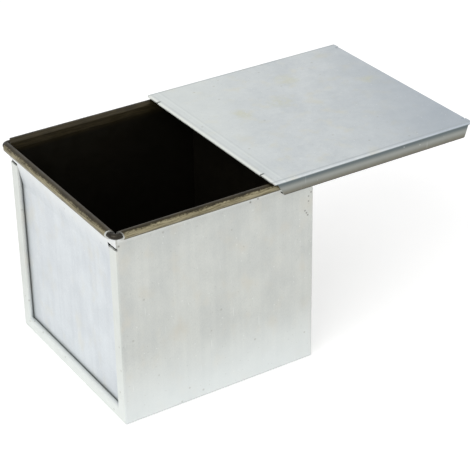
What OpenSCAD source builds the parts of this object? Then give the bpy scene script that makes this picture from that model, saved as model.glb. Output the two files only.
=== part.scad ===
// Cube-shaped pullman loaf pan: a folded sheet body, seamed end panels, a wired rim and a sliding lid.
// Millimetres. +X is the way the lid slides off, the wrap's front wall faces -Y, +Z is up.
// The origin is the centre of the underside, on the surface that the pan stands on.

/* [Pan] */
// Length over the end seams, along X
pan_length = 107; // [90:1:160]
// Width over the side walls, along Y
pan_width = 107; // [90:1:140]
// Height from the underside to the top of the rolled rim
pan_height = 106; // [80:1:130]
// Thickness of the body sheet
sheet = 0.8; // [0.6:0.05:1]
// Outer radius of the body's bends
bend_r = 1.4; // [1.2:0.1:2]

/* [End seams] */
// Width of the folded strip that frames each end panel
seam_width = 7.2; // [6:0.1:9]
// Gap between the layers of sheet in a seam
seam_gap = 0.05; // [0.03:0.01:0.1]
// Distance from the rim's top down to the upper end of the upright strips
seam_top_drop = 11; // [10:0.5:16]
// Height over which the end panel bends out above the strips
panel_rise = 1.5; // [1.5:0.5:6]
// Distance from the rim's top down to where an end panel's middle starts to lean out
panel_lean_drop = 22; // [17:1:50]

/* [Rim] */
// Diameter of the wire that the rim is rolled around
wire_d = 2.8; // [2.4:0.1:3.4]
// Distance of the wire's centre outside the wall's outer face
rim_offset = 1.9; // [1.7:0.05:2.3]
// Radius of the wire's corner bends, at the wire's centre
wire_bend_r = 2.6; // [2.4:0.1:3.4]
// Gap between the wire and the sheet rolled around it
wire_gap = 0.05; // [0.03:0.01:0.1]
// Angle at which the rolled edge ends, measured from the outward side
roll_end_angle = 235; // [225:1:240]
// How far the corner notch cuts back the outside of a rolled edge
notch_length = 3; // [2:0.1:5]
// Distance outside the walls at which the corner notch begins
notch_start = 1.2; // [0.8:0.1:2]

/* [Lid] */
// Thickness of the lid's sheet
lid_sheet = 0.6; // [0.5:0.05:0.8]
// Distance that each end of the closed lid stands past the rim
lid_overhang = 1.15; // [0.8:0.05:2]
// Clearance beside the rim, inside each side channel
side_clear = 0.65; // [0.4:0.05:1]
// Running clearance between the lid's end hems and the rim
hem_clear = 0.25; // [0.2:0.05:0.5]
// Height of the lid's side channels
channel_height = 8; // [7:0.1:9]
// Width of the lip that each channel turns in under the rim
lip_width = 3.6; // [3:0.1:4]
// Outer radius of the lid's folds
lid_fold_r = 1.2; // [0.9:0.1:1.6]
// Depth of the hem turned under each end of the lid
hem_depth = 6; // [4:0.5:9]
// Distance from the lid's side to the leading hem's end
hem_inset_left = 11.9; // [9:0.1:16]
// Distance from the lid's side to the trailing hem's end
hem_inset_right = 6; // [5:0.1:16]
// Slant of the channels' leading ends
channel_cut_left = 4.6; // [1:0.1:7]
// Slant of the channels' trailing ends
channel_cut_right = 2.6; // [1:0.1:7]
// Corner radius of the lid's flat top
lid_corner_r = 2.4; // [1.5:0.1:5]
// How far the lid is drawn open in this pose
lid_open = 85.8; // [0:0.1:118]

/* [Hidden] */
$fn = 64;
eps = 0.02;
cut_margin = 1;

half_l = pan_length / 2;
half_w = pan_width / 2;

// The seam's layers, from the end's outer face inwards: wrap, panel flange, wrap return, panel.
return_end_gap = 0.2;
seam_fold_r = (3 * sheet + 2 * seam_gap) / 2;
flange_depth = sheet + seam_gap;
panel_depth = 3 * (sheet + seam_gap);
fold_centre = sheet + seam_gap + seam_fold_r;
seam_top = pan_height - seam_top_drop;
seam_end_gap = 0.2;
seam_edge_gap = 0.5;
mitre_margin = 3;
panel_lean_z = pan_height - panel_lean_drop;
panel_rise_start = seam_top + seam_end_gap;
panel_rise_end = panel_rise_start + panel_rise;
middle_half_w = half_w - seam_width - seam_edge_gap;
mitre = seam_width + mitre_margin;

// The rolled rim
roll_in_r = wire_d / 2 + wire_gap;
roll_out_r = roll_in_r + sheet;
rim_z = pan_height - roll_out_r;
roll_foot_drop = 2.6;
roll_foot_z = rim_z - roll_foot_drop;
roll_inner = rim_offset - roll_out_r;
wall_end = half_l - sheet - seam_gap;
panel_end = half_w - sheet - seam_gap;

// The lid
hem_fold_gap = 0.05;
hem_fold_r = lid_sheet + hem_fold_gap / 2;
lid_under = pan_height + lid_sheet + hem_fold_gap + hem_clear;
lid_top = lid_under + lid_sheet;
lid_half_l = half_l + rim_offset + roll_out_r + lid_overhang;
lid_half_w = half_w + rim_offset + roll_out_r + side_clear + lid_sheet;
lid_foot = lid_top - channel_height;
relief_w = 1.1;
relief_l = 2.2;

// A quarter of a ring of sheet around the corner of a bend, in the quadrant nearest the origin
module bend_sector(outer_r, thickness) {
    intersection() {
        translate([outer_r, outer_r])
            difference() {
                circle(r = outer_r);
                circle(r = outer_r - thickness);
            }
        square([outer_r, outer_r]);
    }
}

// Half a ring of sheet that opens towards -X
module hairpin(outer_r, thickness) {
    intersection() {
        difference() {
            circle(r = outer_r);
            circle(r = outer_r - thickness);
        }
        translate([0, -outer_r])
            square([outer_r, 2 * outer_r]);
    }
}

// The wrap's part of a seam: x is the distance in from the wall, y the depth from the end face
module wrap_seam_profile() {
    bend_sector(bend_r, sheet);
    translate([bend_r - eps, 0])
        square([seam_width - seam_fold_r - bend_r + 2 * eps, sheet]);
    translate([seam_width - seam_fold_r, seam_fold_r])
        hairpin(seam_fold_r, sheet);
    translate([fold_centre + return_end_gap, 2 * seam_fold_r - sheet])
        square([seam_width - seam_fold_r - fold_centre - return_end_gap + eps, sheet]);
}

// The end panel's part of a seam, in the same frame
module panel_seam_profile() {
    translate([fold_centre, flange_depth])
        square([seam_width - seam_fold_r - fold_centre, sheet]);
    translate([fold_centre, flange_depth + seam_fold_r])
        mirror([1, 0])
            hairpin(seam_fold_r, sheet);
    translate([fold_centre, panel_depth])
        square([mitre - fold_centre, sheet]);
}

// Lays a seam profile along the left end's upright edge at -Y
module along_upright() {
    translate([-half_l, -half_w, 0])
        mirror([1, -1, 0])
            linear_extrude(height = seam_top)
                children();
}

// Lays a seam profile along the left end's bottom edge
module along_bottom() {
    translate([-half_l, half_w, 0])
        rotate([90, 0, 0])
            linear_extrude(height = pan_width)
                mirror([1, -1])
                    children();
}

// Solid outline seen along X, spread over the depth of an end seam
module end_mask(points) {
    translate([-half_l - cut_margin, 0, 0])
        rotate([90, 0, 90])
            linear_extrude(height = mitre)
                polygon(points);
}

// A seam along three edges of the left end, mitred at the two lower corners
module mitred_seam() {
    for (side = [0, 1])
        mirror([0, side, 0])
            intersection() {
                along_upright() children();
                end_mask([[-half_w, 0], [-half_w + mitre, mitre],
                          [-half_w + mitre, seam_top], [-half_w, seam_top]]);
            }
    intersection() {
        along_bottom() children();
        end_mask([[-half_w, 0], [half_w, 0], [half_w - mitre, mitre], [-half_w + mitre, mitre]]);
    }
}

// Outline of the wrap seen along X: straight sides and two rounded lower corners
module wrap_outline(inset) {
    r = bend_r - inset;
    low = inset;
    wide = half_w - inset;
    for (side = [-1, 1])
        translate([side * (wide - r), low + r])
            circle(r = r);
    translate([-(wide - r), low])
        square([2 * (wide - r), pan_height]);
    translate([-wide, low + r])
        square([2 * wide, pan_height]);
}

// The U of sheet that makes the two walls and the bottom, up to a height
module wrap_u(top) {
    intersection() {
        difference() {
            wrap_outline(0);
            wrap_outline(sheet);
        }
        translate([-half_w, 0])
            square([pan_width, top]);
    }
}

// Top of a wall and its rolled edge: x is outwards from the wall's outer face, y is height
module roll_profile() {
    polygon([[-sheet, roll_foot_z], [roll_inner, rim_z], [roll_inner + sheet, rim_z], [0, roll_foot_z]]);
    translate([rim_offset, rim_z])
        difference() {
            circle(r = roll_out_r);
            circle(r = roll_in_r);
            polygon([[0, 0], [-2 * roll_out_r, 0], [-2 * roll_out_r, -2 * roll_out_r],
                     2 * roll_out_r * [cos(roll_end_angle), sin(roll_end_angle)]]);
        }
}

// The corner notches, upright wedges that narrow inwards to the corner of the walls
module corner_notch() {
    out_x = half_l + rim_offset + roll_out_r;
    out_y = half_w + rim_offset + roll_out_r;
    cut_x = out_x - rim_offset - roll_out_r - notch_length;
    cut_y = out_y - rim_offset - roll_out_r - notch_length;
    past = cut_margin;
    for (sx = [0, 1], sy = [0, 1])
        mirror([sx, 0, 0])
            mirror([0, sy, 0])
                translate([0, 0, roll_foot_z])
                    linear_extrude(height = pan_height)
                        polygon([[wall_end, panel_end + notch_start], [cut_x, out_y + past],
                                 [out_x + past, out_y + past], [out_x + past, cut_y],
                                 [wall_end + notch_start, panel_end]]);
}

// Both rolled edges of a pair of walls whose outer faces are at +Y and -Y, along X
module rolled_edges(half_width, half_length) {
    for (side = [0, 1])
        mirror([0, side, 0])
            translate([-half_length, half_width, 0])
                rotate([90, 0, 90])
                    linear_extrude(height = 2 * half_length)
                        roll_profile();
}

module wrap_end() {
    intersection() {
        mitred_seam() wrap_seam_profile();
        translate([-half_l, 0, 0])
            rotate([90, 0, 90])
                linear_extrude(height = mitre)
                    wrap_outline(0);
    }
}

module body_wrap() {
    color("silver")
        union() {
            translate([-half_l + bend_r, 0, 0])
                rotate([90, 0, 90])
                    linear_extrude(height = pan_length - 2 * bend_r)
                        wrap_u(seam_top);
            for (side = [0, 1])
                mirror([side, 0, 0])
                    wrap_end();
            for (side = [0, 1])
                mirror([0, side, 0])
                    translate([-wall_end, -half_w, seam_top])
                        cube([2 * wall_end, sheet, roll_foot_z - seam_top]);
            difference() {
                rolled_edges(half_w, wall_end);
                corner_notch();
            }
        }
}

// Middle of the left end panel seen along Y: it leans out gently from the seam's depth to the end face
module panel_middle_profile() {
    polygon([[panel_depth, fold_centre], [panel_depth, panel_lean_z],
             [0, panel_rise_end], [sheet, panel_rise_end],
             [panel_depth + sheet, panel_lean_z], [panel_depth + sheet, fold_centre]]);
}

// Edge of the left end panel behind a strip: it stays at the seam's depth up to the strip's end
module panel_edge_profile() {
    polygon([[panel_depth, fold_centre], [panel_depth, panel_rise_start],
             [0, panel_rise_end], [sheet, panel_rise_end],
             [panel_depth + sheet, panel_rise_start], [panel_depth + sheet, fold_centre]]);
}

// Web that closes the step between the panel's middle and its edge
module panel_web_profile() {
    polygon([[panel_depth, panel_lean_z], [0, panel_rise_end], [sheet, panel_rise_end],
             [panel_depth + sheet, panel_rise_start], [panel_depth + sheet, panel_lean_z]]);
}

// Spreads a profile seen along Y from one width to another at the left end
module panel_strip(from_y, to_y) {
    translate([-half_l, from_y, 0])
        rotate([90, 0, 0])
            translate([0, 0, from_y - to_y])
                linear_extrude(height = to_y - from_y)
                    children();
}

module left_panel_roll() {
    intersection() {
        difference() {
            rotate([0, 0, 90])
                rolled_edges(half_l, panel_end);
            corner_notch();
        }
        translate([-2 * half_l, -half_w, 0])
            cube([2 * half_l, pan_width, 2 * pan_height]);
    }
}

module left_end_panel() {
    union() {
        mitred_seam() panel_seam_profile();
        panel_strip(-middle_half_w, middle_half_w) panel_middle_profile();
        for (side = [0, 1])
            mirror([0, side, 0]) {
                panel_strip(middle_half_w - sheet, middle_half_w) panel_web_profile();
                panel_strip(middle_half_w - eps, half_w - fold_centre) panel_edge_profile();
                intersection() {
                    panel_strip(half_w - fold_centre - eps, panel_end) panel_edge_profile();
                    translate([-half_l, 0, panel_rise_start])
                        cube([mitre, half_w, pan_height]);
                }
            }
        translate([-half_l, -half_w, panel_rise_end])
            cube([sheet, pan_width, roll_foot_z - panel_rise_end]);
        left_panel_roll();
    }
}

module end_panel_left() {
    color("gainsboro")
        left_end_panel();
}

module end_panel_right() {
    color("lightgray")
        mirror([1, 0, 0])
            left_end_panel();
}

// One closed square of wire, round at its corners
module rim_wire() {
    wire_x = half_l + rim_offset;
    wire_y = half_w + rim_offset;
    straight_x = wire_x - wire_bend_r;
    straight_y = wire_y - wire_bend_r;
    color("dimgray")
        translate([0, 0, rim_z])
            union() {
                for (side = [-1, 1]) {
                    translate([-straight_x, side * wire_y, 0])
                        rotate([0, 90, 0])
                            cylinder(d = wire_d, h = 2 * straight_x);
                    translate([side * wire_x, straight_y, 0])
                        rotate([90, 0, 0])
                            cylinder(d = wire_d, h = 2 * straight_y);
                }
                for (sx = [0, 1], sy = [0, 1])
                    mirror([sx, 0, 0])
                        mirror([0, sy, 0])
                            translate([straight_x, straight_y, 0])
                                rotate_extrude(angle = 90)
                                    translate([wire_bend_r, 0])
                                        circle(d = wire_d);
            }
}

// Half of the lid seen along X: flat top, fold, channel side and the lip under the rim
module lid_half_profile() {
    fold_in_r = lid_fold_r - lid_sheet;
    square_in = lid_half_w - lid_fold_r;
    translate([0, lid_under])
        square([square_in + eps, lid_sheet]);
    for (low = [0, 1])
        translate([lid_half_w, low == 0 ? lid_top : lid_foot])
            mirror([1, 0])
                mirror([0, 1 - low])
                    bend_sector(lid_fold_r, lid_sheet);
    translate([lid_half_w - lid_sheet, lid_foot + lid_fold_r - eps])
        square([lid_sheet, channel_height - 2 * lid_fold_r + 2 * eps]);
    translate([lid_half_w - lip_width, lid_foot])
        square([lip_width - lid_fold_r + eps, lid_sheet]);
}

module lid_plan() {
    for (sx = [-1, 1], sy = [-1, 1])
        translate([sx * (lid_half_l - lid_corner_r), sy * (lid_half_w - lid_corner_r)])
            circle(r = lid_corner_r);
    square([2 * (lid_half_l - lid_corner_r), 2 * lid_half_w], center = true);
    square([2 * lid_half_l, 2 * (lid_half_w - lid_corner_r)], center = true);
}

// Wedge taken off a channel's end so that it slants: cut is the slant's length along X
module channel_wedge(cut) {
    out_x = -lid_half_l - cut_margin;
    in_x = -lid_half_l + lid_corner_r;
    translate([0, -2 * lid_half_w, 0])
        rotate([-90, 0, 0])
            linear_extrude(height = 4 * lid_half_w)
                polygon([[out_x, -lid_top + lid_fold_r], [in_x, -lid_top + lid_fold_r],
                         [in_x + cut, -lid_foot + cut_margin], [out_x, -lid_foot + cut_margin]]);
}

// Hem turned under the lid's left end, between the two hem ends
module hem(inset) {
    long = 2 * (lid_half_w - inset);
    translate([-lid_half_l + hem_fold_r, long / 2, lid_top - hem_fold_r])
        rotate([90, 0, 0])
            linear_extrude(height = long) {
                mirror([1, 0])
                    hairpin(hem_fold_r, lid_sheet);
                translate([-eps, -hem_fold_r])
                    square([hem_depth, lid_sheet]);
            }
}

// What is cut from the left end of the flat sheet before its hem: the hem's bend and two reliefs
module hem_blank(inset) {
    long = 2 * (lid_half_w - inset);
    cut_height = lid_sheet + 2 * cut_margin;
    translate([-lid_half_l - cut_margin, -long / 2, lid_under - cut_margin])
        cube([hem_fold_r + cut_margin, long, cut_height]);
    for (side = [0, 1])
        mirror([0, side, 0])
            translate([-lid_half_l - cut_margin, long / 2, lid_under - cut_margin])
                cube([relief_l + cut_margin, relief_w, cut_height]);
}

module lid_at_centre() {
    difference() {
        intersection() {
            translate([-lid_half_l, 0, 0])
                rotate([90, 0, 90])
                    linear_extrude(height = 2 * lid_half_l)
                        for (side = [0, 1])
                            mirror([side, 0])
                                lid_half_profile();
            translate([0, 0, lid_foot - cut_margin])
                linear_extrude(height = channel_height + 2 * cut_margin)
                    lid_plan();
        }
        channel_wedge(channel_cut_left);
        mirror([1, 0, 0])
            channel_wedge(channel_cut_right);
        hem_blank(hem_inset_left);
        mirror([1, 0, 0])
            hem_blank(hem_inset_right);
    }
    hem(hem_inset_left);
    mirror([1, 0, 0])
        hem(hem_inset_right);
}

module sliding_lid() {
    color("lightsteelblue")
        translate([lid_open, 0, 0])
            union()
                lid_at_centre();
}

body_wrap();
end_panel_left();
end_panel_right();
rim_wire();
sliding_lid();
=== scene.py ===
import math

import bpy
from mathutils import Matrix, Vector


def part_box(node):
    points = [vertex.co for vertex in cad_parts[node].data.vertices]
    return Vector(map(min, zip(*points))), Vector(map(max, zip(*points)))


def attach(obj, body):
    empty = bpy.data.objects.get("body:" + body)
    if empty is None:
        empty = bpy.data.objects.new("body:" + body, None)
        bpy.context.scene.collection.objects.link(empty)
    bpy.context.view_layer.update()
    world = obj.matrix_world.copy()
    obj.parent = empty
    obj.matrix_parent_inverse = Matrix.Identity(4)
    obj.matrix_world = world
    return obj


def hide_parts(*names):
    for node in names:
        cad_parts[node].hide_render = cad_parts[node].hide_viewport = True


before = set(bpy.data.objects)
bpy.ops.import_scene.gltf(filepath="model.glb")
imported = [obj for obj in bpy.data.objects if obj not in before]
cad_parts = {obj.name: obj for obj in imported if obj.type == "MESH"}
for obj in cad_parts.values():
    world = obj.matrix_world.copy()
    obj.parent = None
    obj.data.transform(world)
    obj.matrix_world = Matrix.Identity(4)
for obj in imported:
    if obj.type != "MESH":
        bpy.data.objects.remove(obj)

# Looks of the pullman loaf pan. Each sheet has a bright outside, a dark coated inside and bare cut
# edges, so the CAD pieces are copied face for face and their faces get those materials.

MM = 0.001
SHEET = 0.8 * MM
LID_SHEET = 0.6 * MM
LID_FOLD = 1.2 * MM
HEM_DEPTH = 6 * MM
WALL_TOP = 101.1 * MM
SEAM_TOP = 95 * MM
SEAM_WIDTH = 7.2 * MM
SEAM_DEPTH = 2.6 * MM
PAN_MIDDLE = Vector((0, 0, 53 * MM))
STEEP = 0.5

# Measures of the rim and the lid, read from the frame
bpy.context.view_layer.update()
wire_low, wire_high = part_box("rim_wire")
wrap_low, wrap_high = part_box("body_wrap")
lid_low, lid_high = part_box("sliding_lid")
WIRE_R = (wire_high.z - wire_low.z) / 2
WIRE_Z = (wire_high.z + wire_low.z) / 2
WIRE_REACH = wire_high.y - WIRE_R
ROLL_OUTER = wrap_high.z - WIRE_Z
ROLL_MIDDLE = ROLL_OUTER - SHEET / 2
ROLL_INNER = ROLL_OUTER - SHEET
WALL = 53.5 * MM

# Marks on the front wall: X, Z and radius
FRONT_MARKS = [
    (-52.0, 97.4, 0.8),
    (17.6, 98.5, 0.8),
    (21.8, 99.1, 0.7),
    (48.4, 84.6, 0.7),
    (49.2, 83.2, 0.7),
    (50.0, 81.9, 0.7),
    (51.8, 93.7, 0.7),
    (50.4, 91.9, 0.6),
    (50.4, 89.2, 0.6),
]
# Faint stains on the lid's top: X, Y and radius
LID_STAINS = [(55.6, 12.0, 8), (79.0, 13.2, 9), (96.9, 34.2, 9), (133.4, 9.4, 7)]

# Sockets of Blender's colour mix node
MIX_A = 6
MIX_B = 7
MIX_RESULT = 2


def srgb(red, green, blue):
    """A colour of 0 to 255 as the linear values that a shader's socket takes."""
    def channel(value):
        share = value / 255
        return share / 12.92 if share < 0.04045 else ((share + 0.055) / 1.055) ** 2.4

    return (channel(red), channel(green), channel(blue), 1.0)


class Shader:
    """A material's node tree. Every length is in metres, in the part's own frame."""

    def __init__(self, name, metallic):
        self.material = bpy.data.materials.new(name)
        self.material.use_nodes = True
        self.tree = self.material.node_tree
        self.surface = self.tree.nodes["Principled BSDF"]
        self.surface.inputs["Metallic"].default_value = metallic
        self.place = self.node("ShaderNodeTexCoord").outputs["Object"]
        split = self.node("ShaderNodeSeparateXYZ")
        self.link(self.place, split.inputs[0])
        self.x, self.y, self.z = split.outputs

    def node(self, kind, **settings):
        made = self.tree.nodes.new(kind)
        for key, value in settings.items():
            setattr(made, key, value)
        return made

    def link(self, value, socket):
        """Joins a socket to a node, or sets a plain value on it."""
        if isinstance(value, bpy.types.NodeSocket):
            self.tree.links.new(value, socket)
        else:
            socket.default_value = value

    def math(self, operation, *values):
        made = self.node("ShaderNodeMath", operation=operation)
        for value, socket in zip(values, made.inputs):
            self.link(value, socket)
        return made.outputs[0]

    def ramp(self, value, low, high, at_low=0.0, at_high=1.0):
        """Goes smoothly from at_low to at_high as value goes from low to high."""
        made = self.node("ShaderNodeMapRange", interpolation_type="SMOOTHSTEP")
        for given, socket in zip((value, low, high, at_low, at_high), made.inputs):
            self.link(given, socket)
        return made.outputs[0]

    def mix(self, share, first, second):
        made = self.node("ShaderNodeMix", data_type="RGBA")
        self.link(share, made.inputs[0])
        self.link(first, made.inputs[MIX_A])
        self.link(second, made.inputs[MIX_B])
        return made.outputs[MIX_RESULT]

    def stretched(self, size, turn=(0, 0, 0), shift=0.0):
        """The place measured in grains of that size along each axis."""
        made = self.node("ShaderNodeMapping")
        made.inputs["Location"].default_value = (shift, shift, shift)
        self.link(self.place, made.inputs["Vector"])
        made.inputs["Rotation"].default_value = turn
        made.inputs["Scale"].default_value = [1 / length for length in size]
        return made.outputs[0]

    def noise(self, size, detail=3.0, roughness=0.5, seed=0.0):
        made = self.node("ShaderNodeTexNoise", noise_dimensions="4D")
        self.link(self.stretched(size), made.inputs["Vector"])
        made.inputs["W"].default_value = seed
        made.inputs["Scale"].default_value = 1.0
        made.inputs["Detail"].default_value = detail
        made.inputs["Roughness"].default_value = roughness
        return made.outputs[0]

    def specks(self, cell, radius, share, turn=(0, 0, 0), seed=0.0):
        """1 in scattered dots, 0 between them. radius is a part of the cell, share how many cells have one."""
        made = self.node("ShaderNodeTexVoronoi")
        self.link(self.stretched(cell, turn, seed), made.inputs["Vector"])
        made.inputs["Scale"].default_value = 1.0
        dot = self.ramp(made.outputs["Distance"], 0.5 * radius, radius, 1.0, 0.0)
        split = self.node("ShaderNodeSeparateColor")
        self.link(made.outputs["Color"], split.inputs[0])
        chosen = self.math("LESS_THAN", split.outputs[0], share)
        return self.math("MULTIPLY", dot, chosen)

    def spot(self, place, radius):
        """1 at a place on the part, fading to 0 at the radius."""
        made = self.node("ShaderNodeVectorMath", operation="DISTANCE")
        self.link(self.place, made.inputs[0])
        made.inputs[1].default_value = place
        return self.ramp(made.outputs["Value"], 0.3 * radius, radius, 1.0, 0.0)

    def finish(self, colour, roughness, height, depth):
        """Joins the colour, roughness and surface relief to the shader."""
        self.link(colour, self.surface.inputs["Base Color"])
        self.link(roughness, self.surface.inputs["Roughness"])
        bump = self.node("ShaderNodeBump")
        bump.inputs["Distance"].default_value = depth
        self.link(height, bump.inputs["Height"])
        self.link(bump.outputs[0], self.surface.inputs["Normal"])
        return self.material


def reach(shader):
    """How far a place is from the pan's upright axis, measured square to the nearest wall."""
    across = shader.math("ABSOLUTE", shader.x)
    along = shader.math("ABSOLUTE", shader.y)
    return shader.math("MAXIMUM", across, along)


def satin(shader, pale, deep, tint):
    """The mottled colour of satin sheet: soft blotches, faint upright bands, a tint in places."""
    blotches = shader.noise((16 * MM, 16 * MM, 22 * MM), detail=4.0, roughness=0.6)
    bands = shader.noise((3 * MM, 3 * MM, 120 * MM), detail=2.0, seed=3.0)
    grain = shader.noise((0.5 * MM, 0.5 * MM, 1.1 * MM), detail=2.0, seed=5.0)
    tone = shader.math(
        "ADD",
        shader.ramp(blotches, 0.35, 0.65, 0.0, 0.55),
        shader.ramp(bands, 0.3, 0.7, 0.0, 0.3),
    )
    tone = shader.math("ADD", tone, shader.ramp(grain, 0.3, 0.7, -0.15, 0.3))
    colour = shader.mix(tone, pale, deep)
    warm = shader.noise((9 * MM, 9 * MM, 12 * MM), detail=3.0, seed=9.0)
    return shader.mix(shader.ramp(warm, 0.5, 0.75, 0.0, 0.55), colour, tint)


def worn(shader, colour, dark, light):
    """Adds dark and light specks of two sizes and a few hairline scratches."""
    fine = shader.specks((2.4 * MM,) * 3, 0.16, 0.5, seed=1.0)
    coarse = shader.specks((6 * MM,) * 3, 0.13, 0.3, seed=6.0)
    pale = shader.specks((3 * MM,) * 3, 0.14, 0.4, seed=2.0)
    hairs = shader.specks((1.2 * MM, 1.2 * MM, 18 * MM), 0.2, 0.12, (0.5, 0.2, 0.3), 4.0)
    dots = shader.math("MAXIMUM", shader.math("MULTIPLY", fine, 0.6), coarse)
    colour = shader.mix(shader.math("MULTIPLY", dots, 0.3), colour, dark)
    colour = shader.mix(shader.math("MULTIPLY", pale, 0.35), colour, light)
    return shader.mix(shader.math("MULTIPLY", hairs, 0.3), colour, light)


def spots(shader, places):
    """1 on each of the places, which are centres and radii in millimetres."""
    total = 0.0
    for x, y, z, radius in places:
        one = shader.spot((x * MM, y * MM, z * MM), radius * MM)
        total = shader.math("MAXIMUM", total, one)
    return total


def sheet_relief(shader):
    """Height of rolled sheet: slow waves under a fine upright grain."""
    waves = shader.noise((34 * MM,) * 3, detail=1.0, seed=11.0)
    grain = shader.noise((0.35 * MM, 0.35 * MM, 2.6 * MM), detail=2.0, seed=12.0)
    pits = shader.noise((0.9 * MM,) * 3, detail=2.0, seed=13.0)
    height = shader.math("MULTIPLY", waves, 6.0)
    height = shader.math("ADD", height, shader.math("MULTIPLY", grain, 0.12))
    return shader.math("ADD", height, shader.math("MULTIPLY", pits, 0.15))


def sheet_roughness(shader, low, high):
    cloud = shader.noise((7 * MM,) * 3, detail=4.0, seed=15.0)
    return shader.ramp(cloud, 0.3, 0.7, low, high)


def wrap_outside():
    """The folded wrap's bright side: greyer in the middle, paler towards the bottom with painted light, with a
    painted highlight under the rim, painted light on its end faces and painted shade along its bottom edge.
    """
    shader = Shader("wrap_outside", metallic=0.55)
    colour = satin(shader, srgb(205, 207, 202), srgb(190, 193, 190), srgb(201, 198, 187))
    # Painted light: the wall is painted paler towards the bottom.
    painted_foot_light = shader.ramp(shader.z, 2 * MM, 42 * MM, 0.7, 0.0)
    colour = shader.mix(painted_foot_light, colour, srgb(226, 231, 231))
    # Painted highlight: a pale band on the wall just under the rim's roll.
    painted_rim_highlight = shader.ramp(shader.z, WALL_TOP - 3 * MM, WALL_TOP - 0.5 * MM, 0.0, 0.65)
    colour = shader.mix(painted_rim_highlight, colour, srgb(232, 234, 231))
    # Painted light: the end-facing seam strips and corner edges are painted paler.
    painted_end_light = shader.ramp(
        shader.math("ABSOLUTE", shader.x), WALL - 0.4 * MM, WALL - 0.1 * MM, 0.0, 0.6
    )
    colour = shader.mix(painted_end_light, colour, srgb(228, 232, 227))
    # Painted shade: a darker band along the very bottom, where the wall meets the floor.
    painted_foot_shade = shader.ramp(shader.z, 0.2 * MM, 0.9 * MM, 0.5, 0.0)
    colour = shader.mix(painted_foot_shade, colour, srgb(150, 152, 150))
    colour = worn(shader, colour, srgb(128, 124, 112), srgb(238, 240, 238))
    marks = spots(shader, [(x, -WALL / MM, z, radius) for x, z, radius in FRONT_MARKS])
    colour = shader.mix(
        shader.math("MULTIPLY", marks, 0.6), colour, srgb(92, 88, 78)
    )
    return shader.finish(
        colour, sheet_roughness(shader, 0.38, 0.52), sheet_relief(shader), 0.05 * MM
    )


def panel_outside():
    """The end panels' bright side, bluer and paler than the wrap, with painted shade in the creases beside the
    strips and painted light near the top.
    """
    shader = Shader("panel_outside", metallic=0.55)
    colour = satin(shader, srgb(218, 223, 226), srgb(204, 209, 213), srgb(213, 213, 206))
    strip_edge = WALL - SEAM_WIDTH
    across = shader.math("ABSOLUTE", shader.y)
    below_top = shader.math("LESS_THAN", shader.z, SEAM_TOP)
    # Painted shade: darker bands in the creases beside the side strips and above the bottom strip.
    for width, strength in ((2.4 * MM, 0.22), (0.5 * MM, 0.5)):
        beside = shader.ramp(across, strip_edge - width, strip_edge, 0.0, strength)
        above = shader.ramp(shader.z, SEAM_WIDTH, SEAM_WIDTH + width, strength, 0.0)
        painted_crease_shade = shader.math("MAXIMUM", beside, above)
        painted_crease_shade = shader.math("MULTIPLY", painted_crease_shade, below_top)
        colour = shader.mix(painted_crease_shade, colour, srgb(104, 107, 102))
    # Painted light: paler near the top, where the panel turns out towards the rim.
    top = shader.ramp(shader.z, 86 * MM, WALL_TOP - 1 * MM, 0.0, 0.7)
    colour = shader.mix(top, colour, srgb(238, 240, 238))
    colour = worn(shader, colour, srgb(140, 140, 132), srgb(242, 245, 246))
    return shader.finish(
        colour, sheet_roughness(shader, 0.36, 0.5), sheet_relief(shader), 0.05 * MM
    )


def lid_shades(shader, colour):
    """The lid top's painted shading, paler towards its left end and darker and bluer towards its right end,
    its stains, and the painted highlight and shade along its leading hem.
    """
    along = shader.math("SUBTRACT", shader.x, lid_low.x)
    along = shader.math("DIVIDE", along, lid_high.x - lid_low.x)
    side = shader.math("SUBTRACT", lid_high.y, shader.y)
    side = shader.math("DIVIDE", side, lid_high.y - lid_low.y)
    # Painted shading and reflection: the top is painted paler at its left end and darker and bluer towards its
    # right end.
    tone = shader.math(
        "ADD", shader.math("MULTIPLY", along, 0.7), shader.math("MULTIPLY", side, 0.3)
    )
    colour = shader.mix(shader.ramp(tone, 0.1, 0.45, 0.5, 0.0), colour, srgb(221, 226, 222))
    colour = shader.mix(shader.ramp(tone, 0.5, 1.0, 0.0, 0.85), colour, srgb(164, 173, 182))
    stains = spots(
        shader, [(x, y, lid_high.z / MM, radius) for x, y, radius in LID_STAINS]
    )
    ragged = shader.noise((5 * MM, 5 * MM, 5 * MM), detail=4.0, seed=17.0)
    stains = shader.math("MULTIPLY", stains, shader.ramp(ragged, 0.35, 0.65, 0.05, 0.5))
    colour = shader.mix(stains, colour, srgb(198, 198, 172))
    # Painted highlight: a pale band along the rounded leading hem.
    edge = shader.ramp(shader.x, lid_low.x + 1.0 * MM, lid_low.x + 1.8 * MM, 0.7, 0.0)
    colour = shader.mix(edge, colour, srgb(232, 235, 228))
    # Painted highlight and shade: darker and paler bands along the hem's folds.
    hem_end = lid_low.x + HEM_DEPTH
    for place, strength, shade in (
        (lid_low.x + 2.4 * MM, 0.35, srgb(186, 191, 188)),
        (hem_end, 0.3, srgb(226, 231, 228)),
        (hem_end + 1.2 * MM, 0.25, srgb(188, 194, 194)),
    ):
        far = shader.math("ABSOLUTE", shader.math("SUBTRACT", shader.x, place))
        colour = shader.mix(shader.ramp(far, 0.1 * MM, 0.9 * MM, strength, 0.0), colour, shade)
    return colour


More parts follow.
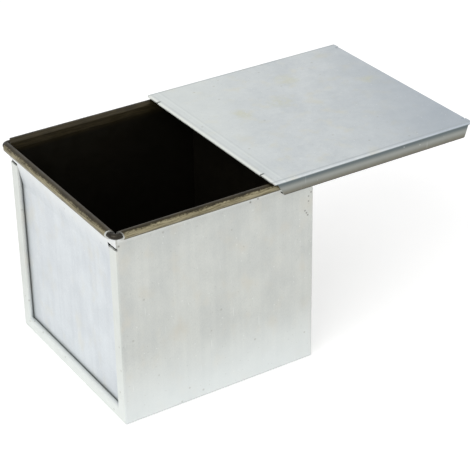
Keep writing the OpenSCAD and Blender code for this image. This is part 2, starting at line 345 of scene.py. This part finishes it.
def lid_outside():
    """The lid's bright side, with painted shade and reflection on its side channels, a painted shade band
    beside the folds and a few faint stains on its top.
    """
    shader = Shader("lid_outside", metallic=0.55)
    colour = satin(shader, srgb(207, 212, 213), srgb(193, 199, 202), srgb(206, 205, 192))
    across = shader.math("ABSOLUTE", shader.y)
    top = lid_high.z
    colour = lid_shades(shader, colour)
    # Painted shade: a darker band just inboard of the fold along each side.
    painted_fold_shade = shader.math(
        "MULTIPLY",
        shader.ramp(across, lid_high.y - 2.4 * MM, lid_high.y - 1.7 * MM, 0.0, 0.5),
        shader.ramp(across, lid_high.y - 1.3 * MM, lid_high.y - 0.9 * MM, 1.0, 0.0),
    )
    colour = shader.mix(painted_fold_shade, colour, srgb(165, 173, 175))
    # Painted shade and reflection: the channels' faces are painted darker than the top, bluish near the fold,
    # beige lower down and near black along the lower edge.
    middle = (lid_low.z + top) / 2
    painted_channel_shade = shader.mix(
        shader.ramp(shader.z, middle, top - 1.6 * MM), srgb(144, 147, 142), srgb(94, 104, 106)
    )
    painted_channel_shade = shader.mix(
        shader.ramp(shader.z, lid_low.z + 1.2 * MM, middle, 1.0, 0.0), painted_channel_shade, srgb(116, 114, 102)
    )
    painted_channel_shade = shader.mix(
        shader.ramp(shader.z, lid_low.z + 0.5 * MM, lid_low.z + 1.3 * MM, 1.0, 0.0),
        painted_channel_shade,
        srgb(58, 56, 48),
    )
    side = shader.math(
        "MULTIPLY",
        shader.ramp(shader.z, top - LID_FOLD, top - 0.5 * MM, 1.0, 0.0),
        shader.math("GREATER_THAN", across, lid_high.y - LID_FOLD),
    )
    colour = shader.mix(side, colour, painted_channel_shade)
    colour = worn(shader, colour, srgb(150, 146, 130), srgb(236, 238, 236))
    return shader.finish(
        colour, sheet_roughness(shader, 0.34, 0.48), sheet_relief(shader), 0.05 * MM
    )


def coating():
    """The dark coating on the sheets' inner side: bronze on the rim, deepened with painted shade inside the
    pan, with a painted reflection on the outer half of the rim's roll.
    """
    shader = Shader("dark_coating", metallic=0.35)
    shader.surface.inputs["Specular IOR Level"].default_value = 0.3
    mottle = shader.noise((4 * MM, 4 * MM, 4 * MM), detail=4.0, seed=21.0)
    deep = shader.mix(mottle, srgb(20, 18, 13), srgb(32, 29, 22))
    streaks = shader.noise((9 * MM, 9 * MM, 0.5 * MM), detail=4.0, roughness=0.65, seed=22.0)
    bronze = shader.mix(
        shader.ramp(streaks, 0.3, 0.7), srgb(34, 29, 15), srgb(60, 52, 32)
    )
    # The coating's own dark colour, deepened with painted shade down inside the pan; bronze on the rim.
    rim = shader.ramp(shader.z, WALL_TOP - 3 * MM, WALL_TOP + 1.5 * MM)
    colour = shader.mix(rim, deep, bronze)
    # Painted reflection: a pale brown sheen on the outer half of the rim's roll.
    out = shader.math("SUBTRACT", reach(shader), WIRE_REACH)
    mottled = shader.noise((1.1 * MM,) * 3, detail=4.0, roughness=0.7, seed=24.0)
    ragged = shader.math(
        "ADD",
        shader.ramp(streaks, 0.2, 0.8, -0.3 * MM, 0.3 * MM),
        shader.ramp(mottled, 0.25, 0.75, -0.45 * MM, 0.45 * MM),
    )
    painted_rim_reflection = shader.ramp(
        shader.math("ADD", out, ragged), 1.15 * MM, 2.1 * MM, 0.0, 1.0
    )
    # Painted shade: the pale brown sheen fades darker on the roll's downward-facing underside.
    painted_underside_shade = shader.ramp(shader.z, WIRE_Z - 1.5 * MM, WIRE_Z, 0.45, 1.0)
    painted_rim_reflection = shader.math("MULTIPLY", painted_rim_reflection, painted_underside_shade)
    painted_reflection_colour = shader.mix(
        shader.ramp(streaks, 0.35, 0.65), srgb(104, 96, 70), srgb(156, 148, 120)
    )
    colour = shader.mix(painted_rim_reflection, colour, painted_reflection_colour)
    grain = shader.noise((0.6 * MM,) * 3, detail=3.0, seed=23.0)
    return shader.finish(colour, sheet_roughness(shader, 0.32, 0.46), grain, 0.04 * MM)


def cut_edge():
    """Bare sheared steel."""
    shader = Shader("cut_edge", metallic=0.9)
    lines = shader.noise((0.3 * MM, 0.3 * MM, 0.3 * MM), detail=2.0, seed=31.0)
    colour = shader.mix(lines, srgb(160, 161, 155), srgb(204, 205, 201))
    return shader.finish(colour, shader.ramp(lines, 0.3, 0.7, 0.3, 0.45), lines, 0.03 * MM)


def wire_steel():
    """The rim's wire, dark and glossy."""
    shader = Shader("wire_steel", metallic=0.85)
    film = shader.noise((2 * MM,) * 3, detail=3.0, seed=41.0)
    colour = shader.mix(film, srgb(34, 32, 28), srgb(62, 58, 50))
    return shader.finish(colour, shader.ramp(film, 0.3, 0.7, 0.22, 0.36), film, 0.03 * MM)


def wrap_side(centre, normal):
    """Says which side of the wrap's sheet a face is on."""
    if abs(normal.x) > STEEP and centre.z > SEAM_TOP:
        return "edge"
    if centre.z < SEAM_TOP and abs(centre.x) > WALL - SEAM_DEPTH:
        return "outside"
    if centre.z < WALL_TOP:
        return "outside" if normal.dot(centre - PAN_MIDDLE) > 0 else "inside"
    return rim_side(abs(centre.y), centre.z, normal.y * math.copysign(1, centre.y))


def panel_side(centre, normal):
    """Says which side of an end panel's sheet a face is on."""
    if abs(normal.y) > STEEP and centre.z > SEAM_TOP:
        return "edge"
    outward = normal.x * math.copysign(1, centre.x)
    if centre.z < WALL_TOP:
        return "outside" if outward > 0 else "inside"
    return rim_side(abs(centre.x), centre.z, outward)


def rim_side(out, height, outward):
    """Says which side of the rolled rim's sheet a face is on. The roll turns the inside out."""
    up = height - WIRE_Z
    if up < 0 and out < WIRE_REACH - ROLL_INNER:
        return "outside" if outward > 0 else "inside"
    return "inside" if math.hypot(out - WIRE_REACH, up) > ROLL_MIDDLE else "outside"


def lid_side(centre, normal):
    """Says which side of the lid's sheet a face is on."""
    fold_y = lid_high.y - LID_FOLD
    across = abs(centre.y)
    if abs(normal.x) > STEEP and across > fold_y - 3 * MM:
        return "edge"
    if across > fold_y:
        level = min(max(centre.z, lid_low.z + LID_FOLD), lid_high.z - LID_FOLD)
        out = normal.y * math.copysign(1, centre.y) * (across - fold_y)
        out += normal.z * (centre.z - level)
        return "outside" if out > 0 else "inside"
    if centre.z < lid_high.z - 3 * MM:
        return "inside" if normal.z > 0 else "outside"
    plate_foot = lid_high.z - LID_SHEET
    under = normal.z < -STEEP and abs(centre.z - plate_foot) < 0.02 * MM
    return "inside" if under else "outside"


def skin(node, name, body, side_of, materials):
    """Copies a CAD node's mesh, stands it in for the node and gives each face its side's material."""
    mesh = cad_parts[node].data.copy()
    mesh.name = name
    mesh.materials.clear()
    sides = sorted(materials)
    for side in sides:
        mesh.materials.append(materials[side])
    for face in mesh.polygons:
        face.material_index = sides.index(side_of(face.center, face.normal))
    piece = bpy.data.objects.new(name, mesh)
    bpy.context.scene.collection.objects.link(piece)
    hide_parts(node)
    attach(piece, body)
    return piece


def dress_pan():
    dark = coating()
    bare = cut_edge()
    wrap = {"outside": wrap_outside(), "inside": dark, "edge": bare}
    panel = {"outside": panel_outside(), "inside": dark, "edge": bare}
    lid = {"outside": lid_outside(), "inside": dark, "edge": bare}
    skin("body_wrap", "wrap_skin", "pan", wrap_side, wrap)
    skin("end_panel_left", "left_panel_skin", "pan", panel_side, panel)
    skin("end_panel_right", "right_panel_skin", "pan", panel_side, panel)
    skin("sliding_lid", "lid_skin", "lid", lid_side, lid)
    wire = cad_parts["rim_wire"]
    for index in range(len(wire.material_slots)):
        wire.material_slots[index].link = "OBJECT"
        wire.material_slots[index].material = steel
    if not wire.material_slots:
        wire.data.materials.append(steel)


def seen_directly(tree):
    """1 for a ray from the camera or off metal or glass, and 0 for one that lights a surface."""
    path = tree.nodes.new("ShaderNodeLightPath")
    total = path.outputs["Is Camera Ray"]
    for name in ("Is Glossy Ray", "Is Transmission Ray"):
        larger = tree.nodes.new("ShaderNodeMath")
        larger.operation = "MAXIMUM"
        tree.links.new(total, larger.inputs[0])
        tree.links.new(path.outputs[name], larger.inputs[1])
        total = larger.outputs[0]
    return total


def level(tree, share, hidden, seen):
    """A strength that is hidden where share is 0 and seen where it is 1."""
    made = tree.nodes.new("ShaderNodeMapRange")
    tree.links.new(share, made.inputs[0])
    made.inputs["To Min"].default_value = hidden
    made.inputs["To Max"].default_value = seen
    return made.outputs[0]


def studio_world():
    """White where it is seen, and a softer level as light."""
    world = bpy.data.worlds.new("studio")
    world.use_nodes = True
    tree = world.node_tree
    background = tree.nodes["Background"]
    background.inputs["Color"].default_value = (1, 1, 1, 1)
    tree.links.new(level(tree, seen_directly(tree), 0.62, 1.0), background.inputs["Strength"])
    bpy.context.scene.world = world


def studio_floor():
    """A plain pale floor that keeps the pan's shadow."""
    half = 3.0
    mesh = bpy.data.meshes.new("floor")
    corners = [(-half, -half, 0), (half, -half, 0), (half, half, 0), (-half, half, 0)]
    mesh.from_pydata(corners, [], [(0, 1, 2, 3)])
    floor = bpy.data.objects.new("floor", mesh)
    bpy.context.scene.collection.objects.link(floor)
    material = bpy.data.materials.new("floor_white")
    material.use_nodes = True
    tree = material.node_tree
    surface = tree.nodes["Principled BSDF"]
    surface.inputs["Base Color"].default_value = (0.86, 0.86, 0.86, 1)
    surface.inputs["Roughness"].default_value = 0.9
    surface.inputs["Specular IOR Level"].default_value = 0.1
    surface.inputs["Emission Color"].default_value = (1, 1, 1, 1)
    lift = level(tree, seen_directly(tree), 0.0, 0.4)
    tree.links.new(lift, surface.inputs["Emission Strength"])
    mesh.materials.append(material)


def soft_lamp(name, place, aim, size, power):
    light = bpy.data.lights.new(name, "AREA")
    light.shape = "SQUARE"
    light.size = size
    light.energy = power
    lamp = bpy.data.objects.new(name, light)
    bpy.context.scene.collection.objects.link(lamp)
    lamp.location = place
    lamp.rotation_euler = (Vector(aim) - Vector(place)).to_track_quat("-Z", "Y").to_euler()


def set_camera():
    """The photograph's camera: its place, what it looks at, its roll and its field of view."""
    place = Vector((-0.34471, -0.61639, 0.46338))
    aim = Vector((0.03772, -0.0077, 0.053))
    roll = math.radians(-0.88)
    ahead = (aim - place).normalized()
    level_right = ahead.cross(Vector((0, 0, 1))).normalized()
    level_up = level_right.cross(ahead)
    right = level_right * math.cos(roll) + level_up * math.sin(roll)
    up = level_up * math.cos(roll) - level_right * math.sin(roll)
    turn = Matrix((right, up, -ahead)).transposed().to_4x4()
    lens = bpy.data.cameras.new("photo_camera")
    lens.sensor_width = 36
    lens.sensor_fit = "HORIZONTAL"
    lens.angle = math.radians(16.215)
    camera = bpy.data.objects.new("photo_camera", lens)
    bpy.context.scene.collection.objects.link(camera)
    camera.matrix_world = Matrix.Translation(place) @ turn
    bpy.context.scene.camera = camera


steel = wire_steel()
dress_pan()
studio_world()
studio_floor()
soft_lamp("key", (-0.95, -0.55, 1.0), (0, 0, 0.06), 1.1, 9.0)
soft_lamp("fill", (0.8, -0.9, 0.8), (0, 0, 0.06), 1.2, 2.5)
bpy.context.scene.view_settings.view_transform = "Standard"
set_camera()
